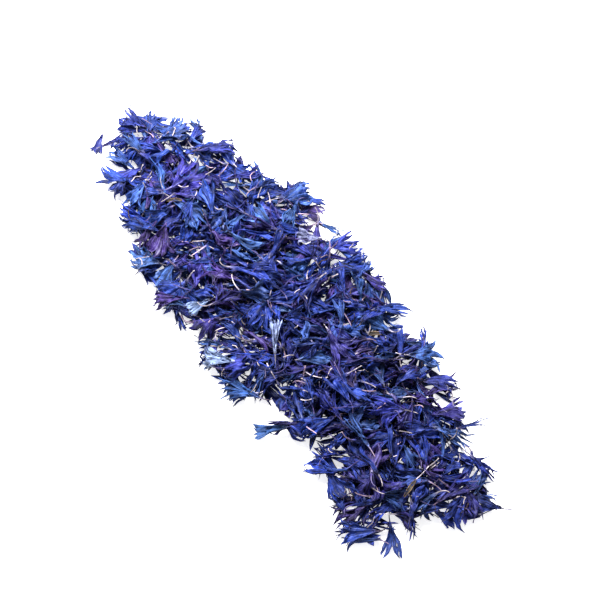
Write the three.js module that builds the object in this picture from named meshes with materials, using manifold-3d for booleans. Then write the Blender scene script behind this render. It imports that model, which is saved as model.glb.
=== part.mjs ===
// A heap of dried cornflower florets, poured out on a flat surface.
// Millimetres, +Z up, +X along the heap. The origin is under the middle of the heap's box.
//
// Each floret is one thin dried trumpet pressed flat: a narrow tube that opens into a limb,
// and the limb ends in pointed lobes. The florets lie tangled in a mat, and the ones on top
// of it and round its rim are loose pieces, each of its own.

import * as THREE from 'three';
import { mergeVertices } from 'three/addons/utils/BufferGeometryUtils.js';
import Module from 'manifold-3d';

const wasm = await Module();
wasm.setup();

// The heap in plan: half widths to the left (+Y) and right (-Y) of its long axis.
const HEAP_PLAN = [
  { x: -110, left: 4, right: 1 },
  { x: -104, left: 13, right: 9 },
  { x: -92, left: 21, right: 20 },
  { x: -80, left: 24, right: 18 },
  { x: -68, left: 28, right: 29 },
  { x: -56, left: 30, right: 31 },
  { x: -44, left: 38, right: 34 },
  { x: -24, left: 40, right: 28 },
  { x: 0, left: 41, right: 36 },
  { x: 14, left: 39, right: 28 },
  { x: 34, left: 37, right: 22 },
  { x: 50, left: 36, right: 30 },
  { x: 66, left: 33, right: 35 },
  { x: 78, left: 34, right: 34 },
  { x: 90, left: 24, right: 24 },
  { x: 98, left: 18, right: 2 },
  { x: 105, left: 8, right: 1 },
];
const RIM_MARGIN = 1;

// The pressed middle of the mat, which its florets grow out of.
const CORE_SHARE_ALONG = 0.86;
const CORE_SHARE_ACROSS = 0.72;
const CORE_HEIGHT = 10;
const CORE_RIM_HEIGHT = 0.8;
const CORE_CRUMPLE = 0.16;
const CORE_SEGMENTS = 26;
const CORE_RINGS = 10;

// One floret of middling size.
const FLORET_LENGTH = 22;
const THROAT_SHARE = 0.4;
const NOTCH_SHARE = 0.58;
const LOBE_UNEVENNESS = 0.22;
const TUBE_WIDTH = 1.4;
const LIMB_WIDTH = 10;
const BLADE_THICKNESS = 0.6;

// Florets fused into the mat, drawn a little larger than life so that they cover it.
const MAT_SEED = 1886;
const MAT_FLORETS = 148;
const MAT_FLORET_SCALE = 1.25;
const ROOT_SINK = 1.2;
const SLIVER_TOLERANCE = 0.01;
const ROOT_SHARE_ACROSS = 0.94;
const EVEN_STEP_ALONG = 0.7548776662;
const EVEN_STEP_ACROSS = 0.569840291;

// The loose pieces. Each starts this far over the core and comes down in ever finer steps.
const LOOSE_SEED = 1742;
const DROP_HEIGHT = 14;
const DROP_STEPS = [4, 1.2, 0.4, 0.12];
const STEEPEST_RISE = 0.35;
const RESTING_GAP = 0.1;

const COLOURS = {
  blue: { colour: 0x3a4db4, roughness: 0.75 },
  violet: { colour: 0x4f3b98, roughness: 0.75 },
  faded: { colour: 0x98a9dc, roughness: 0.7 },
  mat: { colour: 0x2f3a93, roughness: 0.8 },
  bract: { colour: 0x8c6c40, roughness: 0.85 },
};

// The loose florets. Root is the tube's end and tip is the middle of the lobes, in plan.
const LOOSE_FLORETS = [
  { colour: 'violet', root: [-112, -5], tip: [-106, -15], width: 4.5, lobes: 4 },
  { colour: 'violet', root: [-97, 7], tip: [-113, 4], width: 10, lobes: 5 },
  { colour: 'blue', root: [-94, 2], tip: [-104, 16], width: 9, lobes: 5 },
  { colour: 'blue', root: [-86, 0], tip: [-105, -1], width: 7, lobes: 7 },
  { colour: 'blue', root: [-85, -5], tip: [-104, -10], width: 8, lobes: 7 },
  { colour: 'blue', root: [-80, -12], tip: [-101, -18], width: 8, lobes: 4 },
  { colour: 'blue', root: [-92, 4], tip: [-91, 25], width: 13, lobes: 6 },
  { colour: 'violet', root: [-82, 12], tip: [-70, 31], width: 9, lobes: 5 },
  { colour: 'blue', root: [-84, -2], tip: [-78, -19], width: 9, lobes: 5 },
  { colour: 'blue', root: [-58, -14], tip: [-76, -24], width: 8, lobes: 5 },
  { colour: 'blue', root: [-50, -20], tip: [-65, -32], width: 11, lobes: 6 },
  { colour: 'violet', root: [-30, -22], tip: [-44, -36], width: 9, lobes: 5 },
  { colour: 'faded', root: [-26, -14], tip: [-31, -28], width: 6.5, lobes: 5 },
  { colour: 'violet', root: [-68, 16], tip: [-55, 33], width: 7, lobes: 5 },
  { colour: 'blue', root: [-52, 20], tip: [-48, 37], width: 7, lobes: 5 },
  { colour: 'blue', root: [-44, 26], tip: [-35, 44], width: 11, lobes: 6 },
  { colour: 'blue', root: [-36, 38], tip: [-33, 23], width: 8, lobes: 5 },
  { colour: 'blue', root: [-30, 34], tip: [-13, 41], width: 5, lobes: 4 },
  { colour: 'faded', root: [-17, 33], tip: [-29, 24], width: 6.5, lobes: 4 },
  { colour: 'violet', root: [-19, 29], tip: [-8, 44], width: 12, lobes: 5 },
  { colour: 'blue', root: [3, 27], tip: [0, 42], width: 6, lobes: 5 },
  { colour: 'violet', root: [-2, 33], tip: [13, 40], width: 8, lobes: 6 },
  { colour: 'blue', root: [12, 24], tip: [26, 42], width: 9, lobes: 5 },
  { colour: 'blue', root: [46, 28], tip: [31, 41], width: 4, lobes: 3 },
  { colour: 'blue', root: [34, 24], tip: [49, 39], width: 11, lobes: 6 },
  { colour: 'violet', root: [46, 20], tip: [60, 37], width: 9, lobes: 6 },
  { colour: 'violet', root: [58, 16], tip: [69, 32], width: 9, lobes: 6 },
  { colour: 'blue', root: [68, 19], tip: [78, 37], width: 3.5, lobes: 3 },
  { colour: 'blue', root: [60, 13], tip: [82, 25], width: 9, lobes: 6 },
  { colour: 'violet', root: [85, -8], tip: [90, 18], width: 9, lobes: 6 },
  { colour: 'blue', root: [77, 20], tip: [96, 22], width: 7, lobes: 5 },
  { colour: 'blue', root: [108, 20], tip: [95, 8], width: 9, lobes: 3 },
  { colour: 'violet', root: [86, 12], tip: [104, 5], width: 9, lobes: 6 },
  { colour: 'blue', root: [76, -8], tip: [94, -18], width: 4, lobes: 3 },
  { colour: 'blue', root: [78, -16], tip: [94, -29], width: 9, lobes: 6 },
  { colour: 'blue', root: [82, -20], tip: [72, -40], width: 10, lobes: 6 },
  { colour: 'violet', root: [58, -11], tip: [74, -20], width: 11, lobes: 6 },
  { colour: 'blue', root: [58, -20], tip: [42, -31], width: 9, lobes: 6 },
  { colour: 'blue', root: [62, -9], tip: [40, -6], width: 6, lobes: 5 },
  { colour: 'blue', root: [40, -6], tip: [33, -26], width: 8, lobes: 6 },
  { colour: 'blue', root: [31, -20], tip: [21, -39], width: 8, lobes: 5 },
  { colour: 'faded', root: [9, -16], tip: [-6, -3], width: 6, lobes: 5 },
  { colour: 'blue', root: [16, -22], tip: [-1, -38], width: 10, lobes: 5 },
  { colour: 'faded', root: [-1, -22], tip: [-13, -34], width: 9, lobes: 5 },
  { colour: 'blue', root: [0, -19], tip: [-21, -17], width: 6, lobes: 6 },
  { colour: 'violet', root: [-22, -3], tip: [-42, -12], width: 7, lobes: 6 },
  { colour: 'blue', root: [-38, -4], tip: [-16, 8], width: 8, lobes: 6 },
  { colour: 'blue', root: [-48, 2], tip: [-68, 12], width: 9, lobes: 7 },
  { colour: 'violet', root: [6, 10], tip: [28, 6], width: 8, lobes: 6 },
  { colour: 'blue', root: [-6, 26], tip: [-4, 4], width: 8, lobes: 6 },
];

// Small papery scales from the flower heads, which dropped in with the florets.
const BRACT_SCALES = [
  { root: [76, -2], tip: [78, -10], width: 2.6 },
  { root: [-66, -1], tip: [-70, -6], width: 2.4 },
  { root: [20, 20], tip: [25, 26], width: 2.6 },
];

// A seeded draw of numbers from 0 to 1, the same on every run.
function seededDraw(seed) {
  let state = seed;
  return () => {
    state = (state + 0x6d2b79f5) | 0;
    let mixed = Math.imul(state ^ (state >>> 15), 1 | state);
    mixed = (mixed + Math.imul(mixed ^ (mixed >>> 7), 61 | mixed)) ^ mixed;
    return ((mixed ^ (mixed >>> 14)) >>> 0) / 4294967296;
  };
}

const between = (draw, low, high) => low + (high - low) * draw();

// The heap's half width at a place along it, on the side that y is on.
function halfWidth(x, y) {
  const side = y < 0 ? 'right' : 'left';
  const last = HEAP_PLAN.length - 1;
  if (x <= HEAP_PLAN[0].x || x >= HEAP_PLAN[last].x) return 0;
  const next = HEAP_PLAN.findIndex((station) => station.x > x);
  const [a, b] = [HEAP_PLAN[next - 1], HEAP_PLAN[next]];
  const share = THREE.MathUtils.smoothstep(x, a.x, b.x);
  return THREE.MathUtils.lerp(a[side], b[side], share);
}

const HEAP_START = HEAP_PLAN[0].x;
const HEAP_END = HEAP_PLAN[HEAP_PLAN.length - 1].x;
const HEAP_MIDDLE = (HEAP_START + HEAP_END) / 2;
const HEAP_REACH = (HEAP_END - HEAP_START) / 2;
const HEAP_WIDEST = Math.max(...HEAP_PLAN.flatMap(({ left, right }) => [left, right]));

// How far a place along the heap is from the core's ends: 1 at its middle and 0 past them.
function fromCoreEnds(x) {
  const along = (x - HEAP_MIDDLE) / HEAP_REACH / CORE_SHARE_ALONG;
  return Math.sqrt(Math.max(1 - along * along, 0));
}

// The half width of the core, whose ends are rounded.
function coreHalfWidth(x, y) {
  return halfWidth(x, y) * CORE_SHARE_ACROSS * Math.min(1, fromCoreEnds(x) / 0.5);
}

// The height of the core over a point of the plan, down to nothing at its rim.
function coreTop(x, y) {
  const width = coreHalfWidth(x, y);
  if (Math.abs(y) >= width) return 0;
  const across = 1 - Math.pow(Math.abs(y) / width, 2.2);
  return CORE_HEIGHT * Math.pow(across, 0.8) * Math.min(1, fromCoreEnds(x) / 0.8);
}

// A three.js geometry as a closed solid, whose shared vertices are merged.
function solidOf(geometry) {
  const bare = geometry.clone();
  bare.deleteAttribute('normal');
  bare.deleteAttribute('uv');
  const merged = mergeVertices(bare, 1e-4);
  const vertProperties = new Float32Array(merged.attributes.position.array);
  const triVerts = new Uint32Array(merged.index.array);
  return new wasm.Manifold(new wasm.Mesh({ numProp: 3, vertProperties, triVerts }));
}

// A closed solid back as a three.js geometry.
function geometryOf(solid) {
  const mesh = solid.getMesh();
  const geometry = new THREE.BufferGeometry();
  geometry.setAttribute('position', new THREE.BufferAttribute(mesh.vertProperties, 3));
  geometry.setIndex(new THREE.BufferAttribute(mesh.triVerts, 1));
  return geometry;
}

// Moves each vertex of a geometry to where place() puts it.
function reshape(geometry, place) {
  const position = geometry.attributes.position;
  const point = new THREE.Vector3();
  for (let i = 0; i < position.count; i++) {
    point.fromBufferAttribute(position, i);
    place(point);
    position.setXYZ(i, point.x, point.y, point.z);
  }
  return geometry;
}

// The outline of a floret pressed flat: its tube along X, then the limb, which fans out from
// the throat. Its corners are lobe tips and the notches between them by turns.
function floretOutline(length, width, lobes) {
  const throat = length * THROAT_SHARE;
  const limb = length - throat;
  const spread = Math.asin(Math.min(width / 2 / limb, 0.9));
  const outline = new THREE.Shape();
  outline.moveTo(0, -TUBE_WIDTH / 2);
  outline.lineTo(throat, -TUBE_WIDTH / 2);
  for (let corner = 0; corner < 2 * lobes - 1; corner++) {
    const angle = spread * (corner / (lobes - 1) - 1);
    const isTip = corner % 2 === 0;
    const reach = isTip ? 1 - LOBE_UNEVENNESS * Math.abs(Math.sin(1.9 * corner + lobes)) : NOTCH_SHARE;
    outline.lineTo(throat + limb * reach * Math.cos(angle), limb * reach * Math.sin(angle));
  }
  outline.lineTo(throat, TUBE_WIDTH / 2);
  outline.lineTo(0, TUBE_WIDTH / 2);
  outline.closePath();
  return outline;
}

// A floret as a curved blade: its limb is cupped and arched, and its lobes curl up.
function floretBlade({ length, width, lobes, cup, arch, curl }) {
  const blade = new THREE.ExtrudeGeometry(floretOutline(length, width, lobes), {
    depth: BLADE_THICKNESS,
    bevelEnabled: false,
    curveSegments: 1,
  });
  return reshape(blade, (point) => {
    const along = point.x / length;
    const across = point.y / width;
    const pastThroat = Math.max(0, along - THROAT_SHARE);
    const cupped = cup * width * across * across * along;
    const arched = arch * length * Math.sin(Math.PI * along);
    point.z += cupped + arched + curl * length * pastThroat * pastThroat;
  });
}

// Lays a blade in the heap: its root at one point and its tip towards another.
function lay(blade, root, tip, roll) {
  const heading = new THREE.Vector3().subVectors(tip, root).normalize();
  const side = new THREE.Vector3().crossVectors(new THREE.Vector3(0, 0, 1), heading).normalize();
  const above = new THREE.Vector3().crossVectors(heading, side);
  const turn = new THREE.Matrix4().makeBasis(heading, side, above);
  const tilt = new THREE.Matrix4().makeRotationX(roll);
  return blade.applyMatrix4(turn.multiply(tilt).setPosition(root));
}

// The pressed middle of the mat: a low crumpled mound with a flat underside.
function coreGeometry() {
  const ball = new THREE.SphereGeometry(1, CORE_SEGMENTS, CORE_RINGS);
  ball.rotateX(Math.PI / 2);
  return reshape(ball, (point) => {
    const x = HEAP_MIDDLE + point.x * CORE_SHARE_ALONG * HEAP_REACH;
    const chord = Math.sqrt(Math.max(1 - point.x * point.x, 0));
    const y = chord > 0 ? (point.y / chord) * coreHalfWidth(x, point.y) : 0;
    const crumpled = 1 + CORE_CRUMPLE * Math.sin(0.55 * x + 1.3) * Math.cos(0.8 * y - 0.4);
    const height = Math.max(coreTop(x, y), CORE_RIM_HEIGHT) * crumpled;
    point.set(x, y, point.z > 1e-6 ? height : 0);
  });
}

// Where the mat's florets are rooted: spread evenly over the core's plan.
function rootPlaces(count) {
  const places = [];
  for (let step = 1; places.length < count; step++) {
    const x = THREE.MathUtils.lerp(HEAP_START, HEAP_END, (step * EVEN_STEP_ALONG) % 1);
    const y = THREE.MathUtils.lerp(-HEAP_WIDEST, HEAP_WIDEST, (step * EVEN_STEP_ACROSS) % 1);
    if (Math.abs(y) < coreHalfWidth(x, y) * ROOT_SHARE_ACROSS) places.push([x, y]);
  }
  return places;
}

// One floret of the mat: rooted in the core, leaning out at the rim and anyhow on top.
function matFloret([x, y], draw) {
  const scale = MAT_FLORET_SCALE * between(draw, 0.8, 1.1);
  const length = FLORET_LENGTH * scale;
  const across = y / coreHalfWidth(x, y);
  const fromMiddle = (x - HEAP_MIDDLE) / HEAP_REACH;
  const atSide = THREE.MathUtils.smoothstep(Math.abs(across), 0.5, 0.8);
  const atEnd = THREE.MathUtils.smoothstep(Math.abs(fromMiddle), 0.6, 0.8);
  const atRim = Math.max(atSide, atEnd);
  const away = Math.atan2(across, 2 * atEnd * fromMiddle) + between(draw, -0.8, 0.8);
  const heading = draw() < atRim ? away : between(draw, -Math.PI, Math.PI);
  const tipX = THREE.MathUtils.clamp(
    x + length * Math.cos(heading), HEAP_START + RIM_MARGIN, HEAP_END - RIM_MARGIN);
  const reachY = y + length * Math.sin(heading);
  const room = Math.max(halfWidth(tipX, reachY) - RIM_MARGIN, 0);
  const tipY = THREE.MathUtils.clamp(reachY, -room, room);
  const rise = between(draw, 0.06, 0.2) * length * (1 - 0.75 * atRim);
  const root = new THREE.Vector3(x, y, Math.max(coreTop(x, y) - ROOT_SINK, 0.4));
  const tip = new THREE.Vector3(tipX, tipY, Math.max(coreTop(tipX, tipY) + rise, 1));
  const blade = floretBlade({
    length: Math.max(root.distanceTo(tip), length * 0.6),
    width: LIMB_WIDTH * scale * between(draw, 0.85, 1.25),
    lobes: 3,
    cup: between(draw, 0.1, 0.5),
    arch: between(draw, -0.03, 0.06),
    curl: between(draw, -0.1, 0.3),
  });
  return lay(blade, root, tip, between(draw, -0.35, 0.35));
}

// The mat: the core and its florets fused into one body, with nothing under the surface.
function matSolid() {
  const draw = seededDraw(MAT_SEED);
  let mat = solidOf(coreGeometry());
  for (const place of rootPlaces(MAT_FLORETS)) mat = mat.add(solidOf(matFloret(place, draw)));
  const room = new THREE.BoxGeometry(400, 400, 100);
  room.translate(0, 0, 50);
  const above = mat.intersect(solidOf(room)).asOriginal().simplify(SLIVER_TOLERANCE);
  return above.decompose().reduce((most, body) => (body.volume() > most.volume() ? body : most));
}

// Whether a laid blade is over the surface and clear of what lies there already.
function isClear(blade, others) {
  blade.computeBoundingBox();
  if (blade.boundingBox.min.z < 0) return false;
  const solid = solidOf(blade);
  return others.every((other) => solid.intersect(other).isEmpty());
}

// Lets a blade come down: its root and its tip sink by turns until both are held up.
function settle(blade, root, tip, others) {
  const reach = Math.hypot(tip[0] - root[0], tip[1] - root[1]);
  const layAt = ([rootHeight, tipHeight]) => {
    const from = new THREE.Vector3(root[0], root[1], rootHeight);
    const to = new THREE.Vector3(tip[0], tip[1], tipHeight);
    return lay(blade.clone(), from, to, 0);
  };
  let heights = [coreTop(...root) + DROP_HEIGHT, coreTop(...tip) + DROP_HEIGHT];
  for (const step of DROP_STEPS) {
    for (let sinking = true; sinking; ) {
      sinking = false;
      for (const drop of [[step, step], [step, 0], [0, step]]) {
        const lower = [heights[0] - drop[0], heights[1] - drop[1]];
        const isSteep = Math.abs(lower[0] - lower[1]) > STEEPEST_RISE * reach;
        if (isSteep || !isClear(layAt(lower), others)) continue;
        heights = lower;
        sinking = true;
      }
    }
  }
  return layAt(heights).translate(0, 0, RESTING_GAP);
}

function looseFloret({ root, tip, width, lobes }, draw) {
  const length = Math.hypot(tip[0] - root[0], tip[1] - root[1]);
  return floretBlade({
    length,
    width,
    lobes,
    cup: between(draw, 0.1, 0.5),
    arch: between(draw, 0, 0.04),
    curl: between(draw, 0, 0.25),
  });
}

// A bract scale: a small arched spearhead.
function bractScale({ root, tip, width }) {
  const length = Math.hypot(tip[0] - root[0], tip[1] - root[1]);
  const outline = new THREE.Shape();
  outline.moveTo(0, -width * 0.3);
  outline.lineTo(length * 0.5, -width / 2);
  outline.lineTo(length, 0);
  outline.lineTo(length * 0.5, width / 2);
  outline.lineTo(0, width * 0.3);
  outline.closePath();
  const scale = new THREE.ExtrudeGeometry(outline, { depth: BLADE_THICKNESS, bevelEnabled: false });
  return reshape(scale, (point) => {
    point.z += 0.12 * length * Math.sin((Math.PI * point.x) / length);
  });
}

function namedMesh(name, geometry, { colour, roughness }) {
  geometry.computeVertexNormals();
  const material = new THREE.MeshStandardMaterial({ color: colour, roughness, metalness: 0 });
  const mesh = new THREE.Mesh(geometry, material);
  mesh.name = name;
  return mesh;
}

const heap = new THREE.Group();
const mat = matSolid();
heap.add(namedMesh('floret_mat', geometryOf(mat), COLOURS.mat));

const lying = [mat];
const counted = {};
const draw = seededDraw(LOOSE_SEED);

// Adds a loose piece on top of all that lies there, named by its kind and number.
function addLoose(kind, blade, { root, tip }, look) {
  const settled = settle(blade, root, tip, lying);
  lying.push(solidOf(settled));
  counted[kind] = (counted[kind] ?? 0) + 1;
  const number = String(counted[kind]).padStart(2, '0');
  heap.add(namedMesh(`${kind}_${number}`, settled, look));
}

for (const scale of BRACT_SCALES) addLoose('bract_scale', bractScale(scale), scale, COLOURS.bract);
for (const floret of LOOSE_FLORETS) {
  addLoose(`${floret.colour}_floret`, looseFloret(floret, draw), floret, COLOURS[floret.colour]);
}

// The origin goes under the middle of the heap, on the surface it lies on.
const box = new THREE.Box3().setFromObject(heap, true);
const middle = box.getCenter(new THREE.Vector3());
heap.position.set(-middle.x, -middle.y, -box.min.z);

export default heap;
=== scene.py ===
# %% [markdown]
# # A heap of dried cornflower florets
#
# Each floret of a cornflower is a small trumpet: a thin pale tube that opens into a limb with
# pointed blue lobes. Dried, the trumpets crumple and tangle, and poured out on a table they
# make a low ragged heap. This lesson grows every floret as a thin closed mesh from a few
# numbers, and lets them come down one by one onto the heap that the CAD frame gives.

# %% Load the frame
import math

import bpy
import numpy as np
from mathutils import Matrix, Vector
from mathutils.bvhtree import BVHTree


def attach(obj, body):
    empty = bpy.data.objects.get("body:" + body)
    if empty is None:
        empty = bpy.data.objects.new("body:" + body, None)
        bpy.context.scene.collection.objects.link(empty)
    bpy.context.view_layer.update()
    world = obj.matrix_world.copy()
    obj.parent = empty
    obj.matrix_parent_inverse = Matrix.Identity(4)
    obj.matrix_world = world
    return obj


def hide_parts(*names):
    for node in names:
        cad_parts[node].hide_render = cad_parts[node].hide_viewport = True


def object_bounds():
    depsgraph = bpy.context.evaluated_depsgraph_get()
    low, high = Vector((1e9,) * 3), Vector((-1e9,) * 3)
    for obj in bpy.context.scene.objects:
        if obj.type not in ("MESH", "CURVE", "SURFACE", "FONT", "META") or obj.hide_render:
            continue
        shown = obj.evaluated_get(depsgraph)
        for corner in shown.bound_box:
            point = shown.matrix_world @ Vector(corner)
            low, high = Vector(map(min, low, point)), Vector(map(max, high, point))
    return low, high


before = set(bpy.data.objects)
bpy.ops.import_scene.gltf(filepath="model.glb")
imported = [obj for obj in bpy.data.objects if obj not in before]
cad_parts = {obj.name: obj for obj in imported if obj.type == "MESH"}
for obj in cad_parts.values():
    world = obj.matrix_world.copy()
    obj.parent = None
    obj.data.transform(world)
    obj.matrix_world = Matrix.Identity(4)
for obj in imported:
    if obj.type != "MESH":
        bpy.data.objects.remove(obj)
cad_box = [list(corner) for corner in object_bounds()]
MM = 0.001
print("CAD box in mm:", [[round(value / MM, 1) for value in corner] for corner in cad_box])

# %% [markdown]
# ## One stream of random numbers
#
# No two dried florets are alike, so much here is drawn at random. All draws come from one
# seeded generator, and the heap is therefore the same on every run.

# %% Random draws
SEED = 22
draws = np.random.default_rng(SEED)


def between(low, high):
    """One number drawn evenly from low to high."""
    return low + (high - low) * draws.random()


print("All draws start from seed", SEED)

# %% [markdown]
# ## The sheet that a limb is made of
#
# A limb is one sheet of tissue: whole near the throat, and cut into lobes towards the mouth.
# In a mesh it is a grid of quads whose last row splits, and each lobe goes on as a strip of its
# own. The grid is worked out once for each number of lobes and fineness, and then each floret
# only has to move its points.

# %% The limb's grid
class LimbGrid:
    """The quads of a limb, and where each point lies on it before it is bent.

    place runs from -1 to 1 across the limb, and up runs from 0 at the throat to 1 at the notches.
    lobe is the number of the point's lobe. side runs from -1 to 1 across that lobe, and out runs
    from 0 at the notches to 1 at the lobe's tip.
    """

    def __init__(self, lobes, columns, base_rows, lobe_rows):
        self.lobes = lobes
        across = lobes * columns + 1
        points = []
        for row in range(base_rows + 1):
            for column in range(across):
                lobe = min(column // columns, lobes - 1)
                side = 2 * (column - lobe * columns) / columns - 1
                points.append((2 * column / (across - 1) - 1, row / base_rows, lobe, side, 0))
        quads = []
        for row in range(base_rows):
            for column in range(across - 1):
                corner = row * across + column
                quads.append((corner, corner + across, corner + across + 1, corner + 1))
        for lobe in range(lobes):
            below = [base_rows * across + lobe * columns + column for column in range(columns + 1)]
            for row in range(1, lobe_rows + 1):
                above = []
                for column in range(columns + 1):
                    place = 2 * (lobe * columns + column) / (across - 1) - 1
                    above.append(len(points))
                    points.append((place, 1, lobe, 2 * column / columns - 1, row / lobe_rows))
                for column in range(columns):
                    quads.append((below[column], above[column], above[column + 1], below[column + 1]))
                below = above
        table = np.array(points, float)
        self.place, self.up, self.side, self.out = table[:, 0], table[:, 1], table[:, 3], table[:, 4]
        self.lobe = table[:, 2].astype(int)
        self.quads = np.array(quads, int)
        self.rim = rim_of(self.quads)


def rim_of(quads):
    """The edges that only one quad has, each in the direction in which that quad goes round."""
    edges = np.concatenate([quads[:, [i, (i + 1) % 4]] for i in range(4)])
    keys = np.sort(edges, 1)
    order = np.lexsort((keys[:, 1], keys[:, 0]))
    keys = keys[order]
    same = np.zeros(len(keys), bool)
    same[1:] |= (keys[1:] == keys[:-1]).all(1)
    same[:-1] |= (keys[:-1] == keys[1:]).all(1)
    return edges[order[~same]]


FINENESS = {
    "finest": {"columns": 4, "base_rows": 8, "lobe_rows": 5, "tube_rings": 12},
    "fine": {"columns": 4, "base_rows": 6, "lobe_rows": 4, "tube_rings": 9},
    "middling": {"columns": 2, "base_rows": 5, "lobe_rows": 3, "tube_rings": 8},
    "coarse": {"columns": 2, "base_rows": 3, "lobe_rows": 3, "tube_rings": 6},
}
grids = {}


def limb_grid(lobes, fineness):
    """The limb's grid for that many lobes, made when it is first asked for."""
    if (lobes, fineness) not in grids:
        rows = {key: value for key, value in FINENESS[fineness].items() if key != "tube_rings"}
        grids[lobes, fineness] = LimbGrid(lobes, **rows)
    return grids[lobes, fineness]


print("The finest limb of six lobes has", len(limb_grid(6, "finest").quads), "quads a side.")

# %% [markdown]
# ## Growing one floret
#
# The sheet starts as a flat fan. Rolled round the tube's end it is a full circle, and towards
# the mouth it opens, so the roll's angle falls as the sheet goes out. Drying then does the rest:
# each lobe folds along its middle, curls and twists, and the whole floret bends and crumples.
# All of these are small moves of the same points, one after the other.

# %% Floret sizes, in millimetres
FLORET_LENGTHS = (15, 24)
LOBES = (4, 8)  # at least four, and fewer than eight
TUBE_SHARE = 0.28
TUBE_RADIUS = 0.17
THROAT_RADIUS = 0.45
TUBE_SIDES = 6
TUBE_OVERLAP = 1.0
TISSUE_THICKNESS = 0.12
HIDDEN_TUBES = 0.85
NOTCH = (0.4, 0.7)
# The sizes of the dry tissue's creases, from soft dents to fine wrinkles.
CREASE_LENGTHS = np.array([1.2, 1.4, 1.0, 0.5, 0.45, 0.3, 0.25])
print("Florets are", FLORET_LENGTHS[0], "to", FLORET_LENGTHS[1], "mm long.")

# %% A floret's own numbers
def drawn_habit(length, lobes, spread):
    """How one floret has dried: the numbers that bend, fold and curl it.

    Lengths are in millimetres and angles in radians. The other numbers are shares, of the
    floret's length or of the change that their name says.
    """
    return {
        "length": length,
        "lobes": lobes,
        "spread": spread,
        "tube_share": TUBE_SHARE * between(0.85, 1.15),
        "notch": between(*NOTCH),
        "lobe_lengths": draws.uniform(0.6, 1, lobes),
        "lobe_folds": draws.choice([-1, 1], lobes) * draws.uniform(0.3, 1, lobes),
        "lobe_curls": draws.normal(0.02, 0.12, lobes),
        "lobe_leans": draws.normal(0, 0.18, lobes),
        "lobe_twists": draws.normal(0, 0.8, lobes),
        "mouth_roll": math.radians(between(70, 330)),
        "flatness": between(0.3, 0.75),
        "sweep": draws.normal(0, 0.5),
        "tube_sweep": draws.normal(0, 1.0),
        "arch": draws.normal(0.03, 0.05),
        "crumple": between(0.25, 0.75),
        "dip": between(0.4, 1.1) if draws.random() < HIDDEN_TUBES else 0,
        "waves": draws.normal(0, 1, (len(CREASE_LENGTHS), 3)),
        "phases": draws.uniform(0, 2 * math.pi, len(CREASE_LENGTHS)),
    }


# %% Moving the points of a limb
LOBE_BREADTH = 1.15
LOBE_TAPER = 0.96
TAPER_POWER = 1.25
OPENING_POWER = 0.6
TIGHTEST_ROLL = 0.5 * THROAT_RADIUS
FOLD_DEPTH = 0.75
FOLD_GROWTH = 1.6
PLEAT_PLACES = (0, 0.5, 1)
PLEAT_HEIGHTS = (-1.2, -0.2, -0.7)
CREASE_PITCH = 1.6
THROAT_CRUMPLE = 0.25
SIDEWAYS_CRUMPLE = 0.25
SPINE_STEPS = 48
TUBE_EASE = 1.5


def fan_of(habit, grid):
    """Each point of the flat fan, out and across, and its reach: 0 at the throat, 1 at most."""
    limb = habit["length"] * (1 - habit["tube_share"])
    lobe_reach = habit["notch"] + grid.out * habit["lobe_lengths"][grid.lobe] * (1 - habit["notch"])
    reach = np.where(grid.out > 0, lobe_reach, grid.up * habit["notch"])
    middle = (2 * grid.lobe + 1) / grid.lobes - 1
    swell = (LOBE_BREADTH - 1) * np.sin(math.pi * grid.out)
    taper = 1 + swell - LOBE_TAPER * grid.out**TAPER_POWER
    angle = habit["spread"] * (middle + (grid.place - middle) * taper)
    angle += habit["lobe_leans"][grid.lobe] * grid.out**2
    out = limb * reach * np.cos(angle)
    neck = THROAT_RADIUS * math.pi * (1 - np.minimum(reach / habit["notch"], 1)) ** 2
    across = limb * reach * np.sin(angle) + grid.place * neck
    return out, across, reach


def rolled(habit, grid):
    """The limb's points once the fan is rolled, folded and curled."""
    out, across, reach = fan_of(habit, grid)
    limb = habit["length"] * (1 - habit["tube_share"])
    opening = np.minimum(reach / habit["notch"], 1)
    roll = 2 * math.pi + (habit["mouth_roll"] - 2 * math.pi) * opening**OPENING_POWER
    widest = limb * reach * math.sin(habit["spread"]) + math.pi * THROAT_RADIUS * (1 - opening) ** 2
    radius = np.maximum(2 * widest / roll, TIGHTEST_ROLL)
    turn = across / radius
    side = radius * np.sin(turn)
    lift = radius * (1 - np.cos(turn)) * (1 - (1 - habit["flatness"]) * opening)
    lobe_width = limb * habit["spread"] / grid.lobes
    fold = habit["lobe_folds"][grid.lobe] * lobe_width * FOLD_DEPTH
    fold = fold * np.minimum(FOLD_GROWTH * reach, 1)
    pleat = np.interp(np.abs(grid.side), PLEAT_PLACES, PLEAT_HEIGHTS)
    lift += fold * pleat * (1 - 0.5 * grid.out)
    lift += habit["lobe_curls"][grid.lobe] * limb * grid.out**2
    lift += habit["lobe_twists"][grid.lobe] * grid.side * grid.out * (1 - grid.out) * lobe_width
    return np.stack([out, side, lift], 1)


def crumpled(habit, points, reach):
    """Adds the soft dents and creases of dry tissue, growing from the throat to the lobes."""
    moved = points.copy()
    growth = THROAT_CRUMPLE + (1 - THROAT_CRUMPLE) * reach
    for wave, phase, length in zip(habit["waves"], habit["phases"], CREASE_LENGTHS):
        turn = points @ wave / (CREASE_PITCH * length) + phase
        ripple = np.sin(turn) * habit["crumple"] * length
        moved[:, 2] += ripple * growth
        moved[:, 1] += SIDEWAYS_CRUMPLE * ripple * wave[0] * reach
    return moved


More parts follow.
